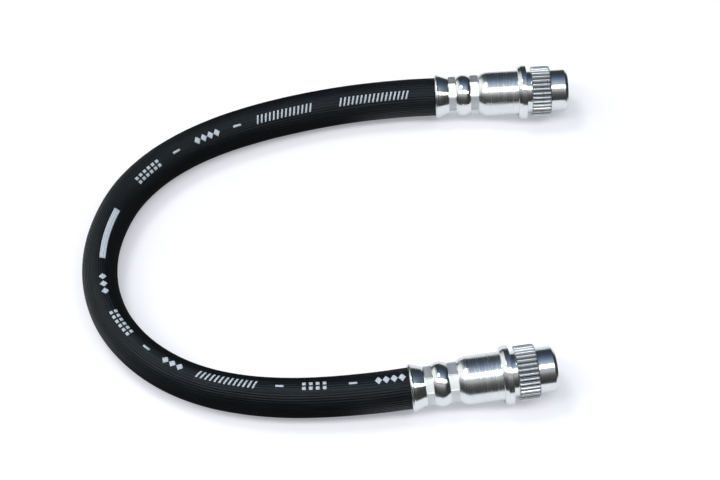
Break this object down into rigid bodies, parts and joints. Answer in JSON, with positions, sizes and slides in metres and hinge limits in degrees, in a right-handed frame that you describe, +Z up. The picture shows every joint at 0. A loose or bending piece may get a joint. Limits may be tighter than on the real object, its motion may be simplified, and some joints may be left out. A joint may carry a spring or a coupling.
{
  "type": "brake hose",
  "caption": "Short braided rubber brake hose with a crimped steel female end fitting on each end, lying in an open loop; carries brake fluid between a rigid pipe and a moving wheel assembly.",
  "frame": {"origin": "middle of the footprint of the two end fittings, on the surface that the hose lies on", "axes": "+Z up; +X from the hose's bend towards the open ends of the fittings; +Y from the near fitting to the far one"},
  "size_m": [0.1305, 0.1063, 0.015],
  "materials": {
    "cover_rubber": "extruded black rubber with fine lengthwise ribs, satin",
    "liner_rubber": "plain black rubber, matt",
    "braid_yarn": "braided off-white polyester yarn",
    "zinc_plate": "bright zinc plate on turned steel",
    "insert_steel": "plain drawn steel tube"
  },
  "bodies": {
    "root": {"hose_liner": "liner_rubber", "inner_braid": "braid_yarn", "middle_rubber": "liner_rubber", "outer_braid": "braid_yarn", "hose_cover": "cover_rubber", "far_fitting": "zinc_plate", "far_insert": "insert_steel", "near_fitting": "zinc_plate", "near_insert": "insert_steel"}
  },
  "joints": []
}
